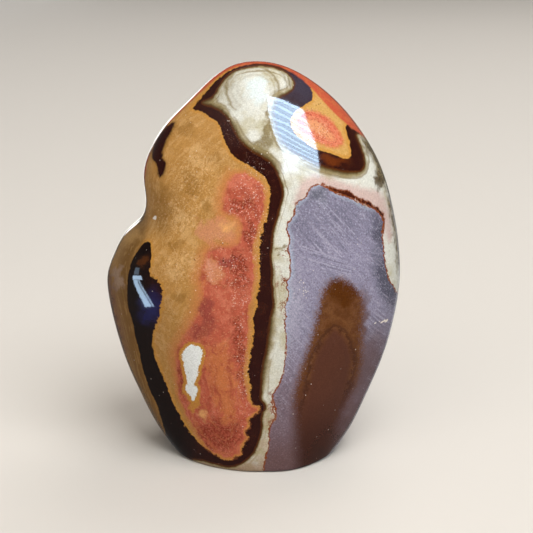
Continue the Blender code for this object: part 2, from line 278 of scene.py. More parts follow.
# Soft patches of a colour within the markings: x, z, half width, half height and, where it has one, the tilt
# in degrees
FRONT_PATCHES = {
    "ringed": [(-6, 133.6, 27, 7.5, 22), (8, 134.5, 10, 7)],
    "crescent": [(-10.8, 132.9, 2.5, 5.6, -36)],
    "crumbs": [(-2.6, 140, 2.4, 0.6, 8)],
    "eye": [(1.5, 132.8, 4.2, 5)],
    "smudge": [(3.6, 113, 3, 4.6), (0.6, 110.6, 6, 2.6, -30), (5.4, 119, 1.6, 6)],
    "soft_edge": [
        (4, 109, 8, 5, -30), (-5, 117, 4, 6, 30), (-13, 126, 6, 3, -20), (28, 104, 10, 3, -10),
        (9, 120, 5, 12), (5.5, 43, 4, 9), (4, 30, 3, 8),
    ],
    "salmon": [
        (-11.6, 82.6, 5.6, 4.2, -10), (-14.7, 66.4, 3.2, 6.2, 20), (-8.6, 78.9, 2.6, 3),
        (-17, 80, 2.6, 6, 30),
    ],
    "pinkish": [(-14.1, 65.2, 2.6, 3.4), (-15.8, 68.4, 2.4, 3)],
    "orange": [(-11.4, 24.5, 4.6, 14.5, 2), (-14.6, 31, 4.2, 7), (-9.5, 11, 3.5, 5), (-20, 56, 2, 8, -10)],
    "orb": [(-9.3, 83, 2, 2), (-18.9, 9.9, 1.5, 1.5)],
    "plum": [
        (-17.4, 51, 3.2, 6.6, 10), (-18.8, 43.3, 5, 2.8, 10), (-13.4, 75.5, 3.6, 1.3, 10),
        (-9.6, 69.4, 2.6, 2.4),
    ],
    "brick": [
        (-1.4, 80.6, 2.2, 6.8, -8), (-5.2, 67, 3.4, 8, 10), (-4.9, 34, 2.4, 16, 5), (-13.4, 2.2, 9.6, 6.6),
        (-26.8, 26, 1.3, 10), (-4, 91.4, 4.8, 2.8),
    ],
    "olive_patch": [
        (-13.7, 108, 3.3, 1.8), (-22.3, 100.4, 3, 3.3), (-21.3, 95.7, 2.4, 2.4), (-28.2, 75.8, 3.3, 2.4),
        (-33, 90, 3.6, 9), (-26.5, 56.1, 2.2, 2.6), (-24, 118, 3, 3, 30), (-17.1, 90.3, 2.6, 2.2),
    ],
    "pale": [
        (-18.2, 106.6, 5, 2.6), (-20.9, 92.8, 2.2, 3.4, 45), (-23.4, 81.3, 5, 1.6, 35), (-21.5, 111, 4, 2),
        (-26.5, 86, 2.6, 5, 10), (-25.7, 67.4, 7, 4.5),
    ],
    "granular": [(-20.6, 100, 7.5, 10, 20), (-25.4, 88, 7.5, 8), (-25.7, 68, 9.5, 7), (-13, 77, 4, 4)],
    "glitter": [
        (-4, 90, 6, 3.4), (-8.5, 68.5, 5, 3.6, 20), (-2.5, 98, 4, 5), (-5, 60, 4, 9), (-14.6, 64, 3, 3),
        (23.5, 117, 4, 3.4), (1, 92, 4, 26), (-6, 118, 4, 7, 30), (-4, 30, 2.5, 20), (3.5, 110, 5, 4, -30),
    ],
    "pitted": [(-21.3, 70.9, 3.2, 0.9, 20), (-19.3, 72.6, 0.9, 0.9), (-27, 68.6, 2.4, 0.9, 10)],
    "pored": [(22, 122, 8, 7), (-9.4, 70, 3, 3), (-10.4, 75.6, 1.6, 1.4)],
    "slate": [(23.3, 94.8, 3.6, 2.6), (46, 80, 3, 7, 6), (48.6, 62, 5, 14, 12), (47, 46, 4, 9, -10)],
    "steep": [(31, 80, 5, 7.4), (26, 76, 4, 4.4), (44, 44, 4, 9, -20)],
    "shallow": [(27, 70.5, 12, 3.6, -20)],
    "pale_grey": [(14.5, 52, 3.4, 16)],
    "speckled": [(39, 75, 1.9, 2.8), (22.4, 67.1, 2, 1.3), (34.5, 67.4, 2.6, 1.3), (18, 60, 4, 5)],
    "halo": [(40.5, 46, 1.8, 13, -2), (42, 30, 5, 14, -16), (37.5, 8, 3.4, 14, -20)],
    "rosy": [(-4.6, 103.4, 6.5, 6.5)],
    "bluish": [(18, 134, 7.5, 7), (8, 122, 5, 10)],
    "ember": [(29, 107.3, 4.6, 1.8, -8)],
    "olive_spot": [(45.3, 99.2, 2.4, 1.8, 30)],
    "curls": [(11, 72.8, 2.2, 2), (11, 62, 1.3, 5), (11, 52, 1.2, 5), (8, 12, 2, 8, 10)],
    "crease": [(9.8, 75.2, 2.6, 0.5, -6), (11, 73, 2.3, 0.55, 12), (9.3, 72.4, 0.9, 0.8)],
    # The cream darker and mottled towards the foot
    "dirty": [(3.5, -5, 5.4, 6.4), (5, 8, 2.6, 6), (-12, -13, 18, 5)],
    "golden": [(33, 58, 5.4, 5), (30.5, 62, 3, 2)],
    "toothed": [(-3.4, 1, 3.6, 9, -15)],
    "tail": [(-22.2, 14.6, 1.6, 3.6), (-21.4, 18, 1.2, 3)],
    "rusty": [(8, 12, 2.6, 8), (9.4, 64, 1.3, 5)],
    "warm_glow": [(-39.9, 70, 1.6, 2.6)],
    # A painted reflection: a blurred bluish reflection laid into the left dark band, below the side window's
    # highlight
    "blue_haze": [(-37.4, 52.4, 4.4, 6, -10)],
    # The first is a painted glint, the white glint in the small pit on the left; the second is a real line
    # of small white chips by the grey
    "chalk": [(-35.6, 85.7, 1.1, 0.55, -15), (47.4, 47, 2.8, 0.45, -8)],
    # Painted light: the notch drawn paler where its surface faces up into the light
    "lit_notch": [(-44.6, 82.2, 4.4, 5, -30)],
    # A painted reflection: the grey-pink reflection on the left lobe, laid into its colour as a paler patch
    "pale_lobe": [(-49.9, 63.6, 2.2, 4.6)],
}
BACK_PATCHES = {
    "ringed": [(30, 96, 9, 7, 20)],
    "smudge": [(-2, 56, 4, 9, -20)],
    "soft_edge": [(30, 100, 12, 8, 30)],
    "salmon": [(-14, 100, 5, 7), (-24, 60, 4, 9, -15)],
    "orange": [(0, 108, 5, 5), (-20, 78, 4, 8, -15)],
    "plum": [(-12, 88, 4, 6)],
    "brick": [(6, 112, 3, 4), (-22, 50, 3, 8, -15)],
    "olive_patch": [(-30, 74, 5, 9), (-20, 118, 6, 4, 20), (16, 112, 5, 3, -20)],
    "pale": [(-34, 60, 4, 8), (-8, 124, 6, 3)],
    "granular": [(-22, 90, 14, 26, 10)],
    "glitter": [(-18, 84, 5, 9)],
    "slate": [(38, 60, 6, 9)],
    "steep": [(28, 56, 8, 10)],
    "shallow": [(30, 40, 12, 4, 10)],
    "halo": [(34, 34, 10, 26)],
    "rosy": [(-14, 84, 6, 7)],
    # The cream darker and mottled towards the foot
    "dirty": [(-14, 6, 6, 8)],
}
# These patches have no ragged edge
HAZES = (
    "orb", "blue_haze", "warm_glow", "ember", "slate", "soft_edge", "bluish", "crescent", "halo",
    "lit_notch", "pale_grey",
)
PATCH_CORE = 0.3  # a patch is whole within this share of its size, and gone beyond the next
PATCH_END = 1.6

RING_EYE = (1.5, 133.7)  # the middle of the cream rings at the top of the show face
# The rings lie further apart to the left of their eye and below it, and closer together above it
EYE_LEFT = 0.69
EYE_ABOVE = 1.1
EYE_BELOW = 0.7
RINGS_END = 14.0
BEYOND_RINGS = 60.0  # what is round the back counts as this much further from the eye
# How dark each ring is, from the eye outwards to where the rings end
RING_STOPS = [
    (0, 0), (0.28, 0), (0.33, 0.3), (0.37, 0.05), (0.44, 0.4), (0.485, 0.2), (0.535, 0.95), (0.585, 0.15),
    (0.67, 0.05), (0.735, 0.7), (0.78, 0.15), (0.83, 0.85), (0.87, 0.4), (0.93, 1),
]

# How far round the back the outlines of the face reach before those of the back take over: 0 at the
# silhouette, 1 straight behind
FACE_ENDS = 0.30
BACK_BEGINS = 0.78
ROLL_OUT = 30.0  # how fast the sheet unrolls behind the silhouette
BODY_MIDDLE = np.array([0.0, 0.0, 62.0])
BODY_HALF = np.array([53.0, 35.0, 80.0])


# The form

def spline(points, samples):
    """A smooth curve through the points, read at that many places an even distance apart."""
    points = np.array(points, float)
    step = np.linalg.norm(np.diff(points, axis=0), axis=1)
    along = np.concatenate([[0], np.cumsum(step)])
    slope = np.diff(points, axis=0) / step[:, None]
    system = np.eye(len(points))
    jumps = np.zeros_like(points)
    for i in range(1, len(points) - 1):
        system[i, i - 1 : i + 2] = step[i - 1], 2 * (step[i - 1] + step[i]), step[i]
        jumps[i] = 6 * (slope[i] - slope[i - 1])
    bend = np.linalg.solve(system, jumps)
    at = np.linspace(0, along[-1], samples)
    i = np.clip(np.searchsorted(along, at) - 1, 0, len(step) - 1)
    after = (at - along[i])[:, None]
    before = (along[i + 1] - at)[:, None]
    h = step[i][:, None]
    bent = (bend[i] * before**3 + bend[i + 1] * after**3) / (6 * h)
    from_start = (points[i] / h - bend[i] * h / 6) * before
    from_end = (points[i + 1] / h - bend[i + 1] * h / 6) * after
    return bent + from_start + from_end


def sides(outline):
    """The outline's two sides, each from the foot up, and its top."""
    curve = spline(outline, CURVE_SAMPLES)
    peak = int(curve[:, 1].argmax())
    return curve[: peak + 1], curve[peak:][::-1], curve[peak]


def pulled_tight(side):
    """The left side as a string pulled tight round the outside of it would run: without its notch."""
    tight = [side[0]]
    for point in side[1:]:
        while len(tight) > 1:
            before, turn = tight[-1] - tight[-2], point - tight[-1]
            if before[0] * turn[1] < before[1] * turn[0]:
                break
            tight.pop()
        tight.append(point)
    return np.array(tight)


def ring_heights(side):
    """Heights an even way apart along the side of the outline, closer in the foot's rounded edge."""
    edge = FOOT_EDGE * (1 - np.cos(np.linspace(0, math.pi / 2, EDGE_RINGS)))
    even = np.interp(np.linspace(0, len(side) - 1, RINGS), np.arange(len(side)), side[:, 1])
    return np.concatenate([edge, even[even > FOOT_EDGE * EDGE_CLEARANCE][:-1]])


def section(height, reach, notch, peak):
    """The outline of the level section at a height, from its reaches to the left, right, front and back."""
    left, right, front, back = reach
    ease = min(1.0, (peak - height) / TOP_ROUND)
    ease = ease * ease * (3 - 2 * ease)
    middle = (left + right) / 2 + RIDGE_SHIFT * ease
    depth_middle = (front + back) / 2
    flatness = 2 + (FACE_FULLNESS - 2) * ease
    inset = FOOT_EDGE - math.sqrt(max(0.0, FOOT_EDGE**2 - max(0.0, FOOT_EDGE - height) ** 2))
    turn = np.linspace(0, 2 * np.pi, SECTION_SAMPLES + 1)
    across, deep = np.cos(turn), np.sin(turn)
    width = np.where(across > 0, right - middle, middle - left) - inset
    depth = np.where(deep > 0, back - depth_middle, depth_middle - front) - inset
    x = middle + width * np.sign(across) * np.abs(across) ** (2 / flatness)
    y = depth_middle + depth * deep
    near_notch = np.clip((left + NOTCH_REACH - x) / NOTCH_REACH, 0, 1)
    x = x + notch * near_notch**2 * (3 - 2 * near_notch)
    along = np.concatenate([[0], np.cumsum(np.hypot(np.diff(x), np.diff(y)))])
    even = np.linspace(0, along[-1], SPOKES + 1)[:-1]
    return np.stack([np.interp(even, along, x), np.interp(even, along, y), np.full(SPOKES, height)], axis=1)


def grind(points):
    """The points after the flats are taken off them. Each stays at its height, so the foot stays level."""
    ground = points.copy()
    for facing, cut, fade in FLATS:
        facing = np.array(facing) / np.linalg.norm(facing)
        proud = points @ facing - ((points @ facing).max() - cut)
        eased = np.where(proud > fade, 0, proud - (proud + fade) ** 2 / (4 * fade))
        kept = np.where(proud < -fade, proud, eased)
        level = facing[:2] / (facing[:2] @ facing[:2])
        ground[:, :2] -= (proud - kept)[:, None] * level
    return ground


def stone_points():
    """Every point of the stone: rings from the foot up, then the top, then the middle of the foot."""
    notched, right, top = sides(FRONT_OUTLINE)
    front, back, crown = sides(SIDE_OUTLINE)
    left = pulled_tight(notched)
    rings = []
    for height in ring_heights(notched):
        reach = [np.interp(height, side[:, 1], side[:, 0]) for side in (left, right, front, back)]
        notch = np.interp(height, notched[:, 1], notched[:, 0]) - reach[0]
        rings.append(section(height, reach, notch, top[1]))
    points = np.concatenate(rings + [[(top[0], crown[0], top[1])]])
    points = grind(points)
    low, high = points.min(axis=0), points.max(axis=0)
    points[:, :2] -= (low[:2] + high[:2]) / 2
    return np.concatenate([points, [(0, 0, 0)]])


# The markings, as distances inside outlines

def rounded(outline):
    """The closed outline with its corners cut once."""
    outline = np.array(outline, float)
    after = np.roll(outline, -1, axis=0)
    return np.stack([0.75 * outline + 0.25 * after, 0.25 * outline + 0.75 * after], axis=1).reshape(-1, 2)


def inside_distance(places, outline):
    """How far inside the closed outline each place is, and as a negative number, how far outside."""
    if outline is None:
        return np.full(len(places), FAR_OUTSIDE)
    nearest = np.full(len(places), np.inf)
    inside = np.zeros(len(places), bool)
    outline = rounded(outline)
    for start, end in zip(outline, np.roll(outline, -1, axis=0)):
        edge = end - start
        from_start = places - start
        along = np.clip(from_start @ edge / (edge @ edge), 0, 1)
        off_x = from_start[:, 0] - along * edge[0]
        off_z = from_start[:, 1] - along * edge[1]
        nearest = np.minimum(nearest, off_x * off_x + off_z * off_z)
        spans = (start[1] <= places[:, 1]) != (end[1] <= places[:, 1])
        if edge[1] != 0:
            inside ^= spans & (from_start[:, 0] < from_start[:, 1] * edge[0] / edge[1])
    return np.clip(np.where(inside, 1, -1) * np.sqrt(nearest), FAR_OUTSIDE, -FAR_OUTSIDE)


def smooth_step(low, high, value):
    share = np.clip((value - low) / (high - low), 0, 1)
    return share * share * (3 - 2 * share)


def sheet_places(points):
    """Where each point lies on the upright sheet, and how far round the back it is, from 0 to 1."""
    outward = (points - BODY_MIDDLE) / BODY_HALF**2
    outward /= np.linalg.norm(outward, axis=1)[:, None] + 1e-9
    to_camera = CAMERA_AT - BODY_MIDDLE
    to_camera /= np.linalg.norm(to_camera)
    behind = np.clip(-(outward @ to_camera), 0, 1)
    reach = CAMERA_AT[1] / (CAMERA_AT[1] - points[:, 1])
    sight = CAMERA_AT + (points - CAMERA_AT) * reach[:, None]
    aside = outward[:, [0, 2]]
    aside = aside / (np.linalg.norm(aside, axis=1)[:, None] + 1e-9)
    return sight[:, [0, 2]] + aside * (ROLL_OUT * behind**2)[:, None], behind


def marking(points, places, back_share, front, back):
    """The distance inside a marking at every point, from its outlines on the face and on the back."""
    depth = np.zeros(len(points))
    on_face = back_share < 1
    on_back = back_share > 0
    depth[on_face] += (1 - back_share[on_face]) * inside_distance(places[on_face], front)
    depth[on_back] += back_share[on_back] * inside_distance(points[on_back][:, [0, 2]], back)
    return depth


def wandering(where):
    """The places moved a millimetre or so by crossing waves, which makes a round edge uneven."""
    x, z = where[:, 0], where[:, 1]
    aside = 0.8 * np.sin(0.9 * z + 0.4 * x) + 0.45 * np.sin(1.9 * x - 1.3 * z + 2)
    up = 0.8 * np.sin(0.8 * x - 0.5 * z + 1) + 0.45 * np.sin(2.1 * z + 0.9 * x + 4)
    aside += 0.25 * np.sin(3.7 * z + 1.1 * x)
    up += 0.25 * np.sin(3.3 * x - z)
    return where + np.stack([aside, up], axis=1)


def patch_strength(where, patches):
    """How strongly each place lies in one of the soft patches: 1 in its middle, 0 well outside it."""
    strength = np.zeros(len(where))
    moved = wandering(where)
    for x, z, half_width, half_height, *tilt in patches:
        turn = math.radians(sum(tilt))
        off = moved - np.array([x, z])
        across = off[:, 0] * math.cos(turn) + off[:, 1] * math.sin(turn)
        up = off[:, 1] * math.cos(turn) - off[:, 0] * math.sin(turn)
        radius = np.hypot(across / half_width, up / half_height)
        strength = np.maximum(strength, 1 - smooth_step(PATCH_CORE, PATCH_END, radius))
    return strength


def stone_faces(points):
    """Quads between the rings of points, and triangles to the top and to the middle of the foot."""
    rings = (len(points) - 2) // SPOKES
    spoke = np.arange(SPOKES)
    after = (spoke + 1) % SPOKES
    faces = []
    for low in range(0, (rings - 1) * SPOKES, SPOKES):
        corners = [low + spoke, low + after, low + SPOKES + after, low + SPOKES + spoke]
        faces += np.stack(corners, axis=1).tolist()
    last = (rings - 1) * SPOKES
    top, foot = len(points) - 2, len(points) - 1
    faces += [(int(last + a), int(last + b), top) for a, b in zip(spoke, after)]
    return faces + [(int(b), int(a), foot) for a, b in zip(spoke, after)]


def stone_mesh():
    """The stone as one closed mesh, with the strength of each marking and patch at every point."""
    points = stone_points()
    mesh = bpy.data.meshes.new("stone")
    mesh.from_pydata((points * MM).tolist(), [], stone_faces(points))
    places, behind = sheet_places(points)
    back_share = smooth_step(FACE_ENDS, BACK_BEGINS, behind)
    found = {name: marking(points, places, back_share, *sides) for name, sides in MARKINGS.items()}
    for name, patches in FRONT_PATCHES.items():
        found[name] = (1 - back_share) * patch_strength(places, patches)
        found[name] += back_share * patch_strength(points[:, [0, 2]], BACK_PATCHES.get(name, []))
    off = places - np.array(RING_EYE)
    off[:, 0] *= np.where(off[:, 0] < 0, EYE_LEFT, 1)
    off[:, 1] *= np.where(off[:, 1] > 0, EYE_ABOVE, EYE_BELOW)
    found["from_eye"] = np.linalg.norm(off, axis=1) + BEYOND_RINGS * back_share
    for name, numbers in found.items():
        mesh.attributes.new(name, "FLOAT", "POINT").data.foreach_set("value", numbers.astype(np.float32))
    mesh.shade_smooth()
    return mesh


# Shader maths

def operator(operation, reflected=False):
    """One of Python's operators on values, which adds a Math node."""
    def work(value, other):
        return value.graph.maths(operation, *((other, value) if reflected else (value, other)))
    return work


class Value:
    """A number at every point of the surface: a socket that Python's own operators work on."""

    def __init__(self, graph, socket):
        self.graph = graph
        self.socket = socket

    __add__, __radd__ = operator("ADD"), operator("ADD", reflected=True)
    __sub__, __rsub__ = operator("SUBTRACT"), operator("SUBTRACT", reflected=True)
    __mul__, __rmul__ = operator("MULTIPLY"), operator("MULTIPLY", reflected=True)
    __truediv__, __rtruediv__ = operator("DIVIDE"), operator("DIVIDE", reflected=True)
    most = operator("MAXIMUM")

    def __neg__(self):
        return self * -1

    def __abs__(self):
        return self.graph.maths("ABSOLUTE", self)

    def rise(self, low, high):
        """0 below low, 1 above high and a smooth rise between them. With low above high it falls."""
        links = {"Value": self, "From Min": low, "From Max": high}
        if low > high:
            links.update({"From Min": high, "From Max": low, "To Min": 1.0, "To Max": 0.0})
        return self.graph.node("ShaderNodeMapRange", {"interpolation_type": "SMOOTHSTEP"}, links)["Result"]


class Made:
    """A node that has been made: its outputs by name."""

    def __init__(self, graph, node):
        self.graph = graph
        self.made = node

    def __getitem__(self, name):
        outputs = [socket for socket in self.made.outputs if socket.name == name and socket.enabled]
        return Value(self.graph, outputs[0])


class Graph:
    """A node tree that is written as expressions."""

    def __init__(self, tree):
        self.tree = tree

    def node(self, kind, settings=None, links=None):
        """A node of that type, with its settings made first and then its sockets' values and links."""
        made = self.tree.nodes.new(kind)
        for name, value in (settings or {}).items():
            if name == "stops":
                self.set_stops(made.color_ramp, value)
            else:
                setattr(made, name, value)
        for name, value in (links or {}).items():
            self.feed(self.socket(made, name), value)
        return Made(self, made)

    def socket(self, made, name):
        if isinstance(name, int):
            return made.inputs[name]
        return [socket for socket in made.inputs if socket.name == name and socket.enabled][0]

    def feed(self, socket, value):
        if isinstance(value, Value):
            self.tree.links.new(value.socket, socket)
        else:
            socket.default_value = value

    def set_stops(self, ramp, stops):
        while len(ramp.elements) < len(stops):
            ramp.elements.new(1.0)
        for element, (place, colour) in zip(ramp.elements, stops):
            element.position = place
            element.color = colour

    def maths(self, operation, *values):
        return self.node("ShaderNodeMath", {"operation": operation}, dict(enumerate(values)))["Value"]

    def scaled(self, vector, scale):
        links = {"Vector": vector, "Scale": scale}
        return self.node("ShaderNodeVectorMath", {"operation": "SCALE"}, links)["Vector"]

    def mix(self, share, below, above):
        """The colour below where share is 0, the colour above where it is 1."""
        made = self.node("ShaderNodeMix", {"data_type": "RGBA", "clamp_factor": True}, {"Factor": share})
        for name, colour in (("A", below), ("B", above)):
            self.feed(self.socket(made.made, name), colour)
        return made["Result"]

    def over(self, colour, *washes):
        """The colour after washes were laid over it. A wash is how much of it lies there, and its colour."""
        for share, wash in washes:
            colour = self.mix(share, colour, wash)
        return colour

    def distance(self, name):
        return self.node("ShaderNodeAttribute", {"attribute_name": name})["Fac"]


def paint(red, green, blue):
    """A colour as the eye names it, 0 to 255, in the units that light adds up in."""
    def linear(part):
        part = part / 255
        return part / 12.92 if part <= 0.04045 else ((part + 0.055) / 1.055) ** 2.4
    return linear(red), linear(green), linear(blue), 1.0


# The colours of the stone

CREAM = paint(212, 213, 205)
CREAM_DULL = paint(188, 183, 160)
CREAM_BLUISH = paint(212, 224, 226)
CREAM_OLIVE = paint(160, 146, 108)
# Darker cream for the last few millimetres above the foot
CREAM_FOOT_DARK = paint(146, 118, 94)
# Darker, mottled cream towards the foot
CREAM_LOW_DARK = paint(176, 152, 130)
OLIVE = paint(122, 106, 66)
OLIVE_DARK = paint(78, 62, 34)
PINK = paint(197, 171, 165)
DARK = paint(44, 14, 10)
DARK_WARM = paint(58, 26, 14)
DARK_BLUE = paint(22, 9, 6)
DARK_SPOT = paint(54, 46, 60)
# Painted reflection: the blue of the blurred reflection in the left dark band
PAINTED_REFLECTION_BLUE = paint(36, 38, 92)
EMBER = paint(96, 42, 10)
RED_BROWN = paint(84, 44, 14)
MUSTARD = paint(178, 132, 72)
MUSTARD_LIGHT = paint(212, 172, 118)
MUSTARD_DULL = paint(146, 104, 48)
MUSTARD_WARM = paint(190, 148, 82)
MUSTARD_EDGE = paint(188, 134, 58)
ORANGE = paint(190, 112, 66)
SALMON = paint(196, 132, 98)
PINKISH = paint(216, 160, 138)
ORB = paint(216, 160, 100)
RED = paint(180, 90, 68)
ROSY = paint(196, 110, 88)
RED_LIGHT = paint(194, 110, 86)
RED_DEEP = paint(136, 56, 40)
PLUM = paint(140, 64, 56)
RIM_RED = paint(180, 82, 56)
TAN = paint(114, 82, 42)
TAN_LIGHT = paint(164, 128, 78)
MAUVE = paint(92, 56, 50)
GREY = paint(141, 137, 160)
GREY_LIGHT = paint(176, 174, 192)
GREY_EDGE = paint(170, 182, 202)
GREY_SLATE = paint(74, 74, 90)
GREY_MAUVE = paint(109, 85, 88)
GREY_ROSY = paint(102, 75, 73)
RUST_LINE = paint(128, 64, 32)
RUST_DARK = paint(62, 24, 14)
GOLDEN_BROWN = paint(82, 42, 6)
UMBER_LIGHT = paint(122, 80, 46)
# Painted reflection: the paler colour of the reflection on the left lobe
PAINTED_LOBE_REFLECTION = paint(152, 128, 110)
SPOT_PINK = paint(204, 116, 88)
SPOT_MIDDLE = paint(208, 142, 98)
SPOT_RED = paint(196, 86, 64)
UMBER = paint(92, 54, 26)
HALO = paint(98, 76, 78)
CHOCOLATE = paint(84, 49, 37)
CHOCOLATE_DARK = paint(58, 30, 22)
WHITE = paint(232, 236, 236)
SPARKLE = paint(232, 224, 214)
PIT_DARK = paint(60, 30, 18)


NOISE_GAIN = 7  # brings the noise to mostly -1 to 1
SEED_STEP = (31.7, 17.3, 53.1)  # how far apart two seeds read the noise


class Jasper(Graph):
    """The stone's shader. Every layer is a short method that paints over the colour that it is given."""

    def __init__(self, tree):
        super().__init__(tree)
        self.place = self.scaled(self.node("ShaderNodeTexCoord")["Object"], 1 / MM)
        self.far = SimpleNamespace(**{name: self.distance(name) for name in [*MARKINGS, "from_eye"]})
        self.cloud = self.noise(9.0, detail=3, seed=1)
        self.swirl = self.noise(5.0, detail=5, seed=2, rough=0.62, warp=1.3)
        self.mottle = self.noise(2.6, detail=4, seed=3)
        self.teeth = self.noise(1.1, detail=3, seed=4)
        self.grain = self.noise(0.55, detail=1, seed=5)
        self.height = self.node("ShaderNodeSeparateXYZ", None, {"Vector": self.place})["Z"]
        self.patch = SimpleNamespace(**{name: self.patch_mask(name) for name in FRONT_PATCHES})

    def patch_mask(self, name):
        soft = self.distance(name)
        if name in HAZES:
            return soft
        ragged = (self.mottle * 0.16 + self.teeth * 0.08) * soft.rise(0.0, 0.2)
        return (soft + ragged).rise(0.12, 0.9)

    def shifted(self, seed):
        links = {0: self.place, 1: [seed * step for step in SEED_STEP]}
        return self.node("ShaderNodeVectorMath", {"operation": "ADD"}, links)["Vector"]

    def noise(self, size, detail=2, seed=0, rough=0.55, stretch=None, turn=0.0, warp=0.0):
        """Soft noise, mostly from -1 to 1, whose patches are about size millimetres across.

        Stretch draws it out along x, y and z, after a turn about y."""
        where = self.shifted(seed)
        if stretch is not None:
            links = {"Vector": where, "Rotation": (0, turn, 0), "Scale": stretch}
            where = self.node("ShaderNodeMapping", {"vector_type": "TEXTURE"}, links)["Vector"]
        made = self.node(
            "ShaderNodeTexNoise", None,
            {"Vector": where, "Scale": 1 / size, "Detail": detail, "Roughness": rough, "Distortion": warp},
        )
        return (made["Fac"] - 0.5) * NOISE_GAIN

    def bands(self, along, period, seed):
        """Uneven bands, mostly from -1 to 1, that follow the lines where along is the same."""
        made = self.node(
            "ShaderNodeTexNoise", {"noise_dimensions": "4D"},
            {"Vector": self.scaled(self.shifted(seed), 0.05 * period), "W": along, "Scale": 1 / period,
             "Detail": 1.0, "Roughness": 0.5},
        )
        return (made["Fac"] - 0.5) * NOISE_GAIN

    def dots(self, spacing, radius, share, seed):
        """1 in small round dots: one in a cell that is spacing wide, and only in that share of the cells."""
        links = {"Vector": self.shifted(seed), "Scale": 1 / spacing}
        cells = self.node("ShaderNodeTexVoronoi", {"feature": "F1"}, links)
        chance = self.node("ShaderNodeSeparateXYZ", None, {"Vector": cells["Color"]})
        size = (chance["Y"] * 0.9 + 0.35) * (radius / spacing)
        return (cells["Distance"] / size).rise(1.0, 0.6) * chance["X"].rise(share, share - 0.02)

    def cream(self):
        far, patch, mottle, height = self.far, self.patch, self.mottle, self.height
        around = far.from_eye + self.cloud * 0.5 + mottle * 0.14
        rings = self.node(
            "ShaderNodeValToRGB", {"stops": [(place, (dark, dark, dark, 1)) for place, dark in RING_STOPS]},
            {"Fac": around / RINGS_END},
        )["Color"]
        fine = self.bands(around, 0.7, 8.0).rise(0.0, 1.2) * around.rise(3, 6)
        inward = -far.warm + mottle * 0.2
        stripes = self.bands(inward, 1.1, 5.0).rise(0.0, 1.0) * inward.rise(5.5, 1.0)
        line = abs(far.warm + 2.1 + mottle * 0.2).rise(0.6, 0.1) * patch.soft_edge * height.rise(98, 101)
        streaks = self.noise(1.0, seed=6, stretch=(1, 1, 5), turn=0.5).rise(-1.4, 0.5)
        rust_line = abs(far.grey + 1.0 + mottle * 0.6).rise(0.55, 0.1).most(self.teeth.rise(-0.2, 0.9) * 0.4)
        curls = abs(self.noise(2.2, seed=9, warp=1.5)).rise(0.4, 0.1)
        return self.over(
            CREAM,
            (self.cloud.rise(-0.3, 1.0), CREAM_DULL),
            (mottle.rise(0.3, 1.2) * 0.4, CREAM_DULL),
            (patch.eye * 0.8, CREAM_BLUISH),
            (patch.ringed * (rings * 0.9), self.mix(around.rise(9, 12), OLIVE, OLIVE_DARK)),
            (patch.ringed * fine * 0.3, CREAM_OLIVE),
            (patch.crescent * 0.4, OLIVE),
            (patch.crumbs * self.teeth.rise(-0.8, 0.2), RIM_RED),
            (patch.smudge * (self.grain * 0.08 + 0.85), OLIVE),
            (stripes * 0.7, OLIVE),
            ((far.pink + mottle * 0.4).rise(-1.8, 1.4) * 0.9, PINK),
            (line * 0.6, OLIVE_DARK),
            ((far.olive + mottle * 0.5).rise(-0.7, 1.4) * 0.95, self.mix(streaks, OLIVE, OLIVE_DARK)),
            (patch.olive_spot * 0.85, OLIVE_DARK),
            # the cream darker and mottled towards the foot
            (patch.dirty * 0.8, self.mix(mottle.rise(-0.4, 0.8), CREAM_LOW_DARK, CREAM_OLIVE)),
            (height.rise(60, 30) * 0.25, CREAM_DULL),
            # darker still in the last few millimetres above the foot
            (height.rise(8, 1) * 0.75, CREAM_FOOT_DARK),
            (patch.rusty * rust_line, RUST_LINE),
            (patch.crease * 0.8, OLIVE),
            (patch.curls * curls * 0.85, RUST_LINE),
        )

    def dark_bands(self, colour):
        far, patch = self.far, self.patch
        depth = far.warm + self.mottle * 0.16 + self.teeth * 0.06
        smoke = depth / (0.3 + patch.soft_edge * 0.9)
        dark = self.over(
            DARK,
            (self.mottle.rise(-0.3, 1.1) * 0.6, DARK_WARM),
            (far.tan.rise(-14, -3), DARK_BLUE),
            (patch.bluish, DARK_SPOT),
            # painted reflection: a blurred bluish reflection over the dark band, below the side window's
            # highlight
            (patch.blue_haze * 0.8, PAINTED_REFLECTION_BLUE),
            (patch.warm_glow * 0.8, RED_BROWN),
            (patch.ember, EMBER),
        )
        return self.over(
            colour,
            (smoke.rise(-4.2, -0.4) * 0.75, CREAM_OLIVE),
            (smoke.rise(-2.8, -0.1) * 0.85, OLIVE),
            (smoke.rise(-1.3, 0.1), OLIVE_DARK),
            (depth.rise(-0.5, 0.3), RED_BROWN),
            (depth.rise(-0.1, 1.0), dark),
        )

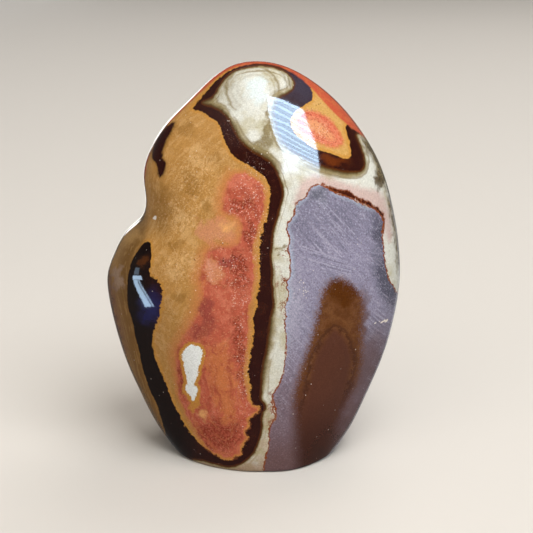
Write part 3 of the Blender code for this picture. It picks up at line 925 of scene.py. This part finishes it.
    def mustard(self, colour):
        far, patch, teeth, swirl = self.far, self.patch, self.teeth, self.swirl
        calm = self.height.rise(96, 110) * 0.6
        jag = teeth * 0.34 + self.mottle * 0.34 + self.grain * 0.1
        jag = jag * (1 - calm) * (1 - far.tan.rise(-9, -4) * 0.7)
        jag -= patch.toothed * teeth.rise(-0.3, 0.9) * 1.2
        depth = far.mustard + jag * far.mustard.rise(-2.0, -0.9)
        grains = (teeth + self.grain * 0.7) * (0.26 + patch.granular * 0.5)
        brushed = self.noise(1.5, detail=3, seed=13, stretch=(1, 1, 6), turn=0.65)
        ribbons = abs(swirl + teeth * 0.12).rise(0.16, 0.03) * self.cloud.rise(-0.6, 0.6)
        warm = self.mix(teeth.rise(-0.2, 1.2) * 0.35, MUSTARD_WARM, MUSTARD_LIGHT)
        lines = self.noise(1.2, seed=12, stretch=(1, 1, 9), turn=-0.1)
        tan = self.over(TAN, (far.tan.rise(2, 9), TAN_LIGHT), (lines.rise(0.0, 1.2) * 0.4, TAN_LIGHT))
        body = self.over(
            MUSTARD,
            (self.cloud.rise(-0.5, 1.0) * 0.3, MUSTARD_DULL),
            (self.height.rise(56, 20) * 0.3, MUSTARD_DULL),
            (swirl.rise(0.1, 1.0) * 0.32, MUSTARD_LIGHT),
            (patch.olive_patch * 0.7, MUSTARD_DULL),
            (patch.pale * swirl.rise(-0.9, 0.4) * 0.45, MUSTARD_LIGHT),
            (grains.rise(0.1, 1.4) * 0.5, MUSTARD_LIGHT),
            (grains.rise(-0.2, -1.4) * 0.5, MUSTARD_DULL),
            (brushed.rise(0.1, 1.4) * 0.25, MUSTARD_LIGHT),
            (brushed.rise(-0.1, -1.4) * 0.2, MUSTARD_DULL),
            (ribbons * 0.4, MUSTARD_LIGHT),
            (far.red_spot.rise(-12, -5), warm),
            (depth.rise(1.5, 0.4) * 0.8, MUSTARD_EDGE),
            (far.tan.rise(-3, 1.5), tan),
            # painted light: the notch paler where it faces up into the light
            (patch.lit_notch * 0.8, TAN_LIGHT),
            # painted reflection on the left lobe
            (patch.pale_lobe * 0.8, PAINTED_LOBE_REFLECTION),
            ((far.mauve + self.mottle * 0.6).rise(-3.0, 3.0), MAUVE),
        )
        pits = self.dots(0.9, 0.32, 0.5, 5) * patch.pitted
        return self.over(colour, (depth.rise(-0.15, 0.15), body), (pits * 0.8, PIT_DARK))

    def red(self, colour):
        far, patch, mottle, teeth, swirl = self.far, self.patch, self.mottle, self.teeth, self.swirl
        flow = self.bands(far.red + self.cloud * 0.8, 0.9, 4.0)
        low = self.height.rise(64, 40)
        body = self.over(
            RED,
            (mottle.rise(-0.4, 1.0) * 0.8, RED_LIGHT),
            (swirl.rise(0.0, -1.0) * 0.5, RED_DEEP),
            (patch.rosy * 0.7, ROSY),
            (patch.brick * teeth.rise(-1.2, 0.3), RED_DEEP),
            (patch.orange * swirl.rise(-1.4, 0.1) * 0.85, ORANGE),
            (patch.plum * 0.8, PLUM),
            (flow.rise(0.3, 1.0) * low * 0.35, ORANGE),
            (flow.rise(-0.4, -1.0) * low * 0.3, RED_DEEP),
            (patch.pinkish * 0.75, PINKISH),
            ((teeth + self.grain * 0.7).rise(0.4, 1.5) * 0.45, SALMON),
        )
        spot = far.red_spot + mottle * 0.3 + teeth * 0.25 + self.grain * 0.15
        speckle = teeth + self.grain
        fill = self.over(
            SPOT_PINK,
            (self.bands(spot, 0.8, 2.0).rise(-0.8, 0.8), SPOT_RED),
            (spot.rise(1.2, 4.0) * swirl.rise(-1.4, 0.2), SPOT_MIDDLE),
            (speckle.rise(0.2, 1.5) * 0.6, SALMON),
            (speckle.rise(-0.5, -1.6) * 0.5, RED_DEEP),
        )
        depth = far.red + mottle * 0.3 + teeth * 0.16 + self.grain * 0.12
        soft = (far.mustard - far.red).rise(3, 9)
        washed = patch.salmon * swirl.rise(1.4, -0.4) * 0.8
        rim = self.mix(mottle.rise(-0.2, 1.2) * 0.5, RIM_RED, ORANGE)
        return self.over(
            colour,
            (patch.salmon * swirl.rise(-1.6, -0.2) * 0.8, SALMON),
            ((depth / (0.5 + soft)).rise(-3.2, 0.2) * 0.6, ORANGE),
            ((depth / (0.4 + soft)).rise(-0.6, 1.2) * (1 - washed), body),
            (patch.orb * 0.9, ORB),
            (patch.tail * 0.85, MUSTARD_EDGE),
            (self.dots(0.8, 0.32, 0.5, 6) * patch.pored * 0.7, PIT_DARK),
            ((far.red_rim + mottle * 0.12).rise(-0.4, 0.4), rim),
            (spot.rise(-1.0, 1.2), fill),
        )

    def dark_spots(self, colour):
        depth = self.far.dark_left + self.mottle * 0.18 + self.teeth * 0.12
        return self.over(colour, (depth.rise(-1.4, -0.2) * 0.6, MUSTARD_DULL), (depth.rise(-0.5, 0.5), DARK))

    def grey(self, colour):
        far, patch, mottle, height = self.far, self.patch, self.mottle, self.height
        depth = far.grey + (self.teeth * 0.25 + mottle * 0.13)
        left_rim = depth.rise(1.8, 0.2) * patch.slate.rise(0.4, 0.0) * height.rise(20, 90)
        coarse = height.rise(6, 40) * 0.8 + 0.2
        steep = self.noise(0.55, detail=1, seed=8, stretch=(26, 26, 1), turn=0.87)
        shallow = self.noise(0.6, detail=1, seed=10, stretch=(26, 26, 1), turn=0.36)
        lines = (steep * (0.5 + patch.steep * 0.6) + shallow * (0.2 + patch.shallow)) * coarse
        grains = self.teeth * 0.5 + self.grain
        body = self.over(
            GREY,
            (self.cloud.rise(-0.2, 1.4) * 0.16, GREY_SLATE),
            (patch.slate * depth.rise(8, 2.5) * 0.9, GREY_SLATE),
            (patch.pale_grey * 0.45, GREY_LIGHT),
            (left_rim * 0.85, GREY_EDGE),
            (height.rise(60, 24) * 0.75, GREY_MAUVE),
            (height.rise(78, 94) * 0.3, GREY_SLATE),
            (height.rise(24, 4) * 0.85, GREY_ROSY),
            (lines.rise(0.1, 1.3) * 0.5, GREY_LIGHT),
            (lines.rise(-0.1, -1.3) * 0.35, GREY_SLATE),
            (grains.rise(0.3, 1.8) * coarse * 0.5, GREY_LIGHT),
            (grains.rise(-0.4, -1.8) * coarse * 0.35, GREY_SLATE),
            (self.dots(0.8, 0.26, 0.5, 7) * patch.speckled * 0.8, SPARKLE),
        )
        rust = far.rust + self.teeth * 0.25 + mottle * 0.3 - 0.2
        return self.over(
            colour,
            (rust.rise(-0.5, 0.2), RUST_LINE),
            (rust.rise(0.0, 0.5), RUST_DARK),
            (depth.rise(-0.7, -0.35) * mottle.rise(-1.6, -0.2), RUST_LINE),
            (depth.rise(-0.12, 0.12), self.brown(body)),
        )

    def brown(self, colour):
        mottle, teeth, grain, height = self.mottle, self.teeth, self.grain, self.height
        depth = self.far.brown + mottle * 0.3 + teeth * 0.2 + grain * 0.3
        inner = self.far.chocolate + mottle * 0.3 + grain * 0.2
        wavering = inner + mottle * 0.5
        nested = abs(wavering).rise(1.2, 0.2).most(abs(wavering - 3.4).rise(1.0, 0.2) * 0.7)
        specks = (teeth * 0.5 + grain).rise(0.0, 1.8) * depth.rise(6, 0)
        body = self.over(
            UMBER,
            (mottle.rise(-0.8, 1.2) * 0.5, UMBER_LIGHT),
            (self.patch.golden, GOLDEN_BROWN),
            (height.rise(40, 24) * 0.8, CHOCOLATE),
            (nested * height.rise(16, 30) * 0.6, CHOCOLATE_DARK),
            (inner.rise(0.0, 2.6) * 0.9, CHOCOLATE),
            (height.rise(32, 6) * 0.85, CHOCOLATE_DARK),
            (specks * 0.6, HALO),
        )
        softness = 1 + height.rise(36, 10) * 1.4
        edge = (depth + grain * 0.5) / softness
        return self.over(colour, (self.patch.halo * 0.8, HALO), (edge.rise(-1.6, 1.8), body))

    def white_patch(self, colour):
        depth = self.far.white + self.teeth * 0.2 + self.grain * 0.15
        white = self.mix(self.dots(1.1, 0.3, 0.3, 8) * 0.5, WHITE, CREAM_OLIVE)
        return self.over(colour, (depth.rise(-1.7, -0.8), MUSTARD_EDGE), (depth.rise(-0.2, 0.15), white))

    def sparkles(self, colour):
        patch = self.patch
        small = self.dots(1.2, 0.2, 0.25, 1) * (self.cloud.rise(-0.2, 1.2) * 0.4)
        scattered = self.dots(2.2, 0.2, 0.28, 2)
        dense = self.dots(0.9, 0.2, 0.3, 3) * patch.glitter
        scratches = abs(self.noise(0.9, detail=1, seed=14)).rise(0.3, 0.1) * self.grain.rise(0.25, 0.9)
        scratches = scratches * (patch.glitter + patch.granular * 0.35)
        scratches = scratches * (self.far.mustard.rise(-0.3, 0.5) * 0.65 + 0.15)
        bright = small.most(scattered).most(dense).most(scratches * 0.8)
        # the pit's painted glint and the white chips, then the sparkles
        return self.over(colour, (patch.chalk.rise(0.3, 0.6), SPARKLE), (bright * 0.75, SPARKLE))

    def grained(self, colour):
        return self.scaled(colour, (self.noise(0.42, detail=1, seed=20) + self.grain * 0.4) * 0.09 + 1)

    def finish(self):
        colour = self.cream()
        for layer in (self.dark_bands, self.mustard, self.red, self.dark_spots, self.grey, self.white_patch,
                      self.grained, self.sparkles):
            colour = layer(colour)
        height = self.cloud * 0.01 + self.grain * 0.002
        links = {"Strength": 0.25, "Distance": 0.001, "Height": height}
        bump = self.node("ShaderNodeBump", None, links)["Normal"]
        roughness = 0.05 + self.mottle.rise(0.4, 1.4) * 0.04
        links = {"Base Color": colour, "Roughness": roughness, "IOR": 1.54, "Normal": bump}
        shader = self.node("ShaderNodeBsdfPrincipled", None, links)
        self.node("ShaderNodeOutputMaterial", None, {"Surface": shader["BSDF"]})


def jasper_material():
    material = bpy.data.materials.new("polished_jasper")
    material.use_nodes = True
    material.node_tree.nodes.clear()
    Jasper(material.node_tree).finish()
    return material


# The stone's surface, finished by a tree of geometry nodes

POLISH = {
    "Ripple size": 14.0,  # how far apart the wheel's faint waves are
    "Ripple height": 0.10,
    "Seed": 3,
}
RIPPLE_STARTS = 2.0  # height above the foot where the ripple starts
RIPPLE_FULL = 12.0  # and where all of it is there


def polish_tree(material):
    """Faint waves that the wheel left: they bend what is mirrored in the polish."""
    tree = bpy.data.node_groups.new("polish", "GeometryNodeTree")
    face = tree.interface
    face.new_socket("Stone", in_out="INPUT", socket_type="NodeSocketGeometry")
    for name in ("Ripple size", "Ripple height"):
        face.new_socket(name, in_out="INPUT", socket_type="NodeSocketFloat")
    face.new_socket("Seed", in_out="INPUT", socket_type="NodeSocketInt")
    face.new_socket("Stone", in_out="OUTPUT", socket_type="NodeSocketGeometry")
    graph = Graph(tree)
    given = graph.node("NodeGroupInput")
    place = graph.node("GeometryNodeInputPosition")["Position"]
    normal = graph.node("GeometryNodeInputNormal")["Normal"]
    noise = graph.node(
        "ShaderNodeTexNoise", {"noise_dimensions": "4D"},
        {"Vector": place, "W": given["Seed"], "Scale": (1 / MM) / given["Ripple size"], "Detail": 1.0},
    )["Fac"]
    height = graph.node("ShaderNodeSeparateXYZ", None, {"Vector": place})["Z"]
    off_foot = height.rise(RIPPLE_STARTS * MM, RIPPLE_FULL * MM)
    offset = graph.scaled(normal, (noise - 0.5) * given["Ripple height"] * MM * off_foot)
    moved = graph.node("GeometryNodeSetPosition", None, {"Geometry": given["Stone"], "Offset": offset})
    real = graph.node("GeometryNodeRealizeInstances", None, {"Geometry": moved["Geometry"]})
    links = {"Geometry": real["Geometry"], "Material": material}
    done = graph.node("GeometryNodeSetMaterial", None, links)
    graph.node("NodeGroupOutput", None, {"Stone": done["Geometry"]})
    return tree


def finished_stone():
    """The stone as a plain mesh, after its surface has been through the polishing tree."""
    material = jasper_material()
    rough = bpy.data.objects.new("rough_stone", stone_mesh())
    bpy.context.scene.collection.objects.link(rough)
    modifier = rough.modifiers.new("polish", "NODES")
    modifier.node_group = polish_tree(material)
    for item in modifier.node_group.interface.items_tree:
        if item.in_out == "INPUT" and item.name in POLISH:
            modifier[item.identifier] = POLISH[item.name]
    seen = rough.evaluated_get(bpy.context.evaluated_depsgraph_get())
    mesh = bpy.data.meshes.new_from_object(seen)
    mesh.name = "jasper_stone"
    bpy.data.objects.remove(rough, do_unlink=True)
    stone = bpy.data.objects.new("jasper_stone", mesh)
    bpy.context.scene.collection.objects.link(stone)
    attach(stone, BODY)
    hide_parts(NODE)
    return stone


# The floor, the light and the camera

FLOOR_HALF = 4000.0
FLOOR_COLOUR = paint(204, 199, 192)
FLOOR_ROUGHNESS = 0.9


def floor():
    mesh = bpy.data.meshes.new("floor")
    half = FLOOR_HALF * MM
    corners = [(-half, -half, 0), (half, -half, 0), (half, half, 0), (-half, half, 0)]
    mesh.from_pydata(corners, [], [(0, 1, 2, 3)])
    material = bpy.data.materials.new("pale_floor")
    material.use_nodes = True
    shader = material.node_tree.nodes["Principled BSDF"]
    shader.inputs["Base Color"].default_value = FLOOR_COLOUR
    shader.inputs["Roughness"].default_value = FLOOR_ROUGHNESS
    mesh.materials.append(material)
    plane = bpy.data.objects.new("floor", mesh)
    bpy.context.scene.collection.objects.link(plane)
    plane.visible_glossy = False


def lamp(name, direction, distance, seen_from, size, brightness, colour, roll=0.0, shift=(0, 0),
         seen=True, lights=True):
    """A soft box that faces a point of the stone from a direction, given as azimuth and elevation.

    Shift moves it in its own plane, to its right and up. A box that isn't seen has no reflection in the
    polish, and one that doesn't light has nothing but a reflection."""
    azimuth, elevation = (math.radians(angle) for angle in direction)
    away = Vector((math.sin(azimuth) * math.cos(elevation), -math.cos(azimuth) * math.cos(elevation),
                   math.sin(elevation)))
    light = bpy.data.lights.new(name, "AREA")
    light.shape = "RECTANGLE"
    light.size, light.size_y = (side * MM for side in size)
    light.energy = brightness * math.pi * light.size * light.size_y
    light.color = colour
    box = bpy.data.objects.new(name, light)
    box.rotation_euler = away.to_track_quat("Z", "Y").to_euler()
    box.rotation_euler.rotate_axis("Z", math.radians(roll))
    across = box.rotation_euler.to_matrix() @ Vector((*shift, 0))
    box.location = (Vector(seen_from) + away * distance + across) * MM
    box.visible_camera = False
    box.visible_glossy = seen
    box.visible_diffuse = lights
    bpy.context.scene.collection.objects.link(box)


# The window's blind shows as fine lines in its reflection, so the window is a stack of slats, each a little
# further to the left than the one above it, and every second one is dimmer.
SLATS = 26
SLAT_BRIGHTNESS = (27.0, 17.5)
SLAT_OVERLAP = 0.98  # leaves a fine gap between two slats
WINDOW_AT = (37, 53.4)
WINDOW_AWAY = 2200
WINDOW_ROLL = -11.5
WINDOW_TOP = (578, 653)
WINDOW_FOOT = (-735, -968)
WINDOW_BLUE = (0.55, 0.76, 1.0)
STUDIO_AWAY = 2400
CREST = (15, -20, 120)
LOBE = (-39, -22, 66)
MIDDLE = (0, 0, 70)


def window():
    pitch = SLAT_OVERLAP * (WINDOW_TOP[1] - WINDOW_FOOT[1]) / SLATS
    tilt = math.radians(WINDOW_ROLL)
    for i in range(SLATS):
        down = (i + 0.5) / SLATS
        brightness = SLAT_BRIGHTNESS[i % 2] * (1 - 0.72 * smooth_step(0.55, 0.9, down))
        right, up = (top + (foot - top) * down for top, foot in zip(WINDOW_TOP, WINDOW_FOOT))
        shift = (right * math.cos(tilt) + up * math.sin(tilt), up * math.cos(tilt) - right * math.sin(tilt))
        size = (1000 + 260 * down, pitch)
        lamp("window_slat", WINDOW_AT, WINDOW_AWAY, CREST, size, brightness, WINDOW_BLUE,
             roll=WINDOW_ROLL, shift=shift, lights=False)
    lamp("lower_pane", (20.6, 24.4), WINDOW_AWAY, CREST, (1300, 420), 1.5, (0.95, 0.97, 1.0), roll=-30,
         lights=False)
    for shift, size, brightness in (
        ((5, 10), (14, 7), 10.0),
        ((1.6, -6), (5.6, 24), 9.0),
        ((6.4, -6), (2.2, 24), 7.0),
        ((4, 22), (9, 14), 2.0),
    ):
        lamp("side_pane", (-94, -22), 58, LOBE, size, brightness, WINDOW_BLUE, shift=shift, lights=False)


def studio():
    lamp("key", (34, 56), WINDOW_AWAY, MIDDLE, (1500, 1700), 6.6, (1.0, 0.99, 0.97), seen=False)
    lamp("fill", (-25, 40), STUDIO_AWAY, MIDDLE, (2200, 1600), 1.7, (1.0, 0.93, 0.84), seen=False)
    for direction, width in (((-174, -9), 580), ((-164, 4), 520)):
        lamp("rim_light", direction, STUDIO_AWAY, MIDDLE, (width, 560), 2.7, (1.0, 1.0, 1.0), lights=False)
    for direction, brightness in (((162, -25), 0.6), ((153, -22), 0.5)):
        lamp("edge_strip", direction, STUDIO_AWAY, MIDDLE, (180, 1400), brightness, (0.92, 0.94, 1.0),
             lights=False)
    lamp("back_light", (150, 50), STUDIO_AWAY, MIDDLE, (1600, 1600), 3.0, (1.0, 0.97, 0.94), seen=False)
    world = bpy.data.worlds.new("studio")
    bpy.context.scene.world = world
    world.use_nodes = True
    world.node_tree.nodes.clear()
    graph = Graph(world.node_tree)
    direction = graph.node("ShaderNodeTexCoord")["Generated"]
    up = graph.node("ShaderNodeSeparateXYZ", None, {"Vector": direction})["Z"]
    strength = 0.06 + up.rise(0.45, 0.0) * 0.05 + up.rise(0.6, 1.0) * 0.4
    links = {"Color": (1.0, 0.97, 0.93, 1), "Strength": strength}
    background = graph.node("ShaderNodeBackground", None, links)
    graph.node("ShaderNodeOutputWorld", None, {"Surface": background["Background"]})


def place_camera():
    data = bpy.data.cameras.new("camera")
    data.lens = CAMERA_LENS
    data.sensor_width = SENSOR_WIDTH
    data.clip_start = CAMERA_CLIP * MM
    camera = bpy.data.objects.new("camera", data)
    camera.location = Vector(CAMERA_AT) * MM
    camera.rotation_euler = (math.radians(90 - CAMERA_PITCH), 0, 0)
    bpy.context.scene.collection.objects.link(camera)
    bpy.context.scene.camera = camera


finished_stone()
floor()
window()
studio()
place_camera()
bpy.context.scene.view_settings.view_transform = "Standard"
